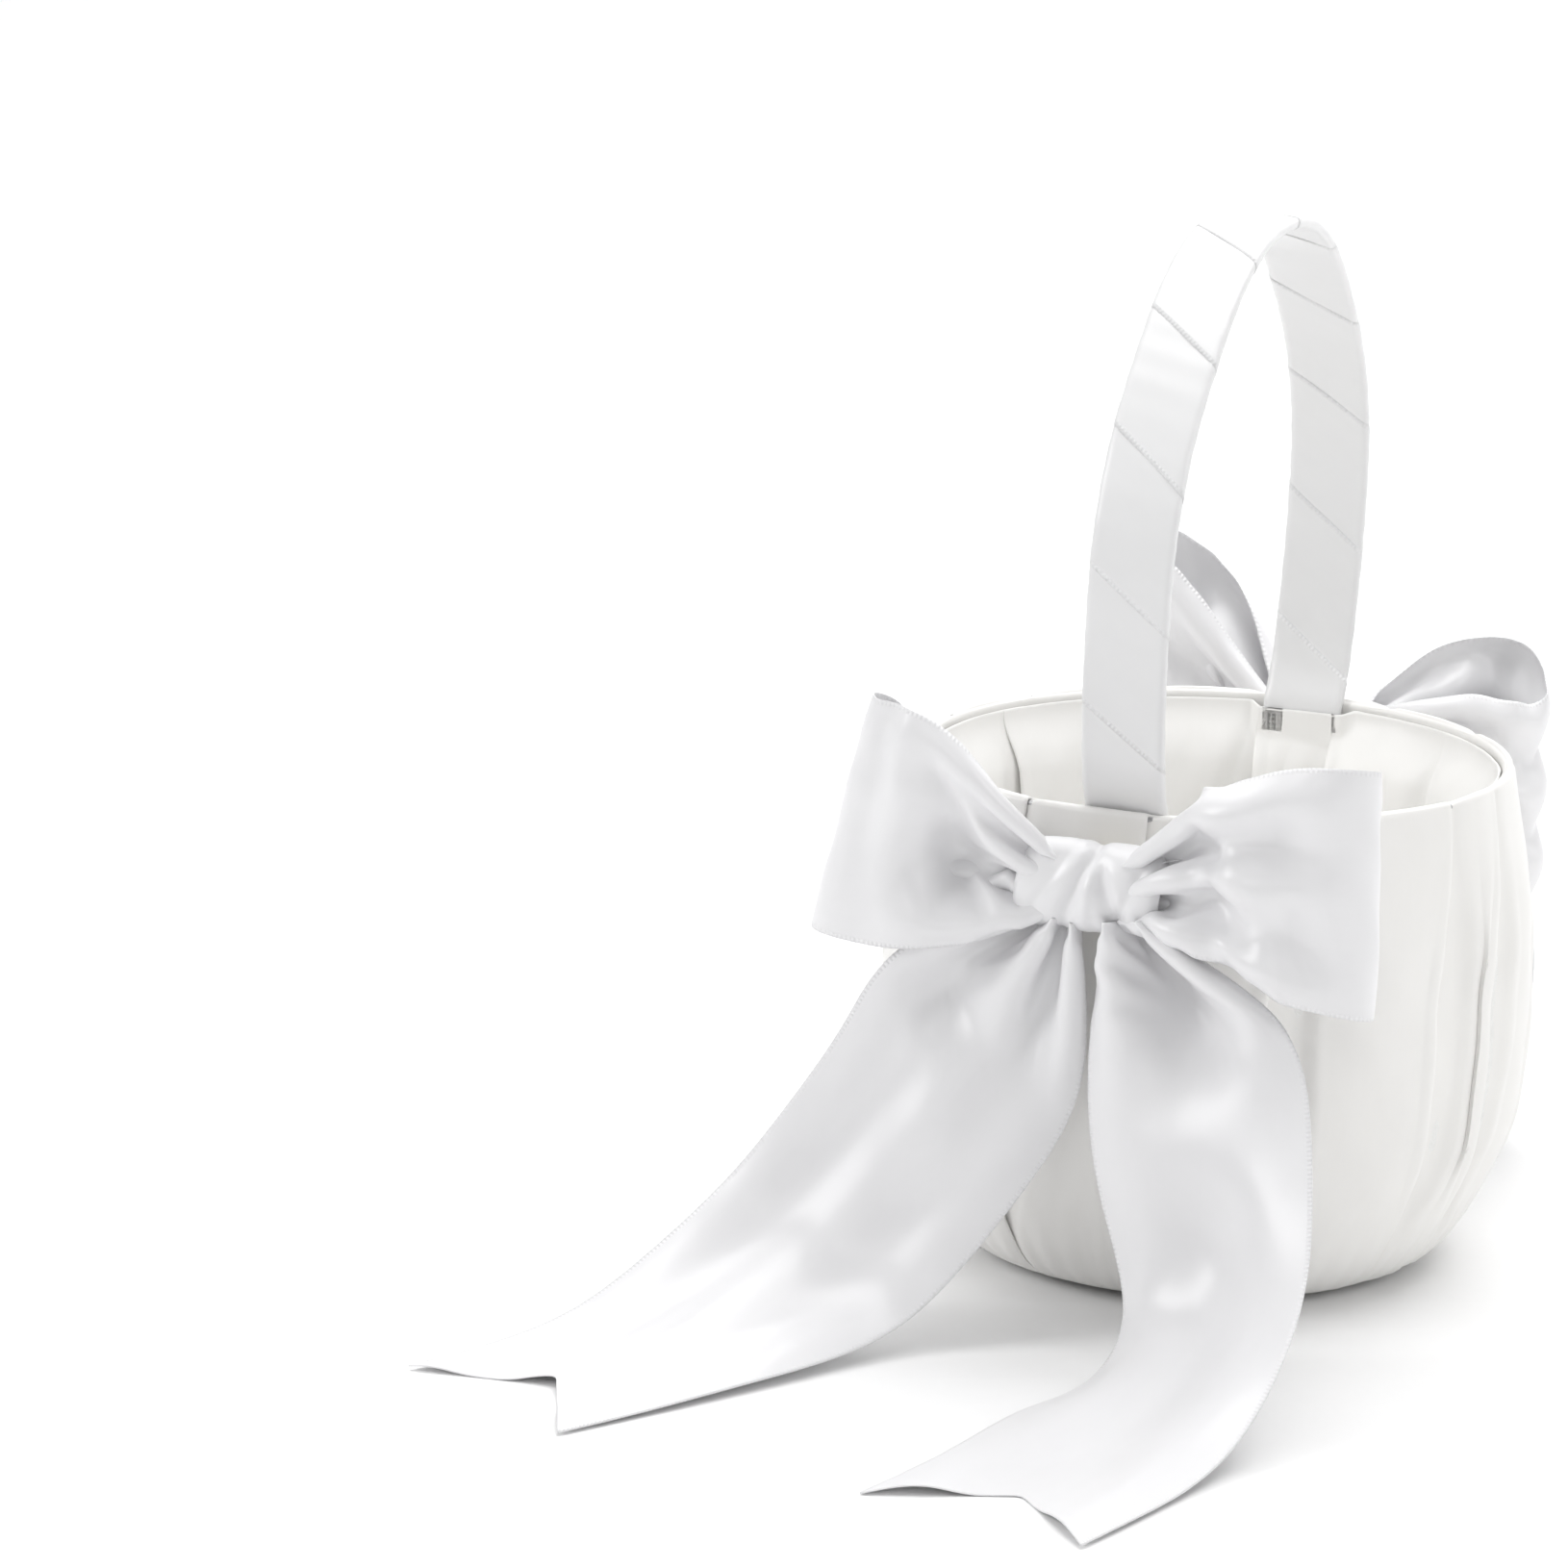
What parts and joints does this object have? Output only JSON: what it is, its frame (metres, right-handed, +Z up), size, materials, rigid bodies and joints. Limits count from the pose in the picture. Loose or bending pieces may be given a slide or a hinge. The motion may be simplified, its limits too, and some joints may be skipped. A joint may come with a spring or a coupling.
{
  "type": "flower girl basket",
  "caption": "Round satin-covered basket with a ribbon-wrapped arch handle and a ribbon bow with long swallowtail ends at each foot of the handle.",
  "frame": {"origin": "centre of the underside, on the surface that the basket stands on", "axes": "+Z up; the handle's arch stands in the YZ plane; the front bow faces -Y; X is the basket's width across the bows"},
  "size_m": [0.1797, 0.3813, 0.222],
  "materials": {
    "ivory_satin": "warm ivory bridal satin, soft sheen",
    "white_ribbon": "double-face white satin ribbon, glossy, woven selvedge",
    "wadding": "polyester wadding",
    "moulded_board": "moulded paper board",
    "white_card": "white-faced card",
    "rim_steel": "drawn wire",
    "handle_steel": "white painted steel band",
    "rivet_aluminium": "plain rivet",
    "glue": "set hot-melt glue"
  },
  "bodies": {
    "root": {"basket_form": "moulded_board", "rim_wire": "rim_steel", "outer_wadding": "wadding", "inner_wadding": "wadding", "outer_cover": "ivory_satin", "inner_lining": "ivory_satin", "underside_disc": "white_card", "floor_card": "white_card", "floor_padding": "wadding", "floor_cover": "ivory_satin", "handle_core": "handle_steel", "handle_ribbon_wrap": "white_ribbon", "front_handle_rivets": "rivet_aluminium", "rear_handle_rivets": "rivet_aluminium", "front_bow_knot": "white_ribbon", "front_bow_glue_pad": "glue", "front_bow_left_loop": "white_ribbon", "front_bow_right_loop": "white_ribbon", "front_bow_left_tail": "white_ribbon", "front_bow_right_tail": "white_ribbon", "rear_bow_knot": "white_ribbon", "rear_bow_glue_pad": "glue", "rear_bow_left_loop": "white_ribbon", "rear_bow_right_loop": "white_ribbon", "rear_bow_left_tail": "white_ribbon", "rear_bow_right_tail": "white_ribbon"}
  },
  "joints": []
}
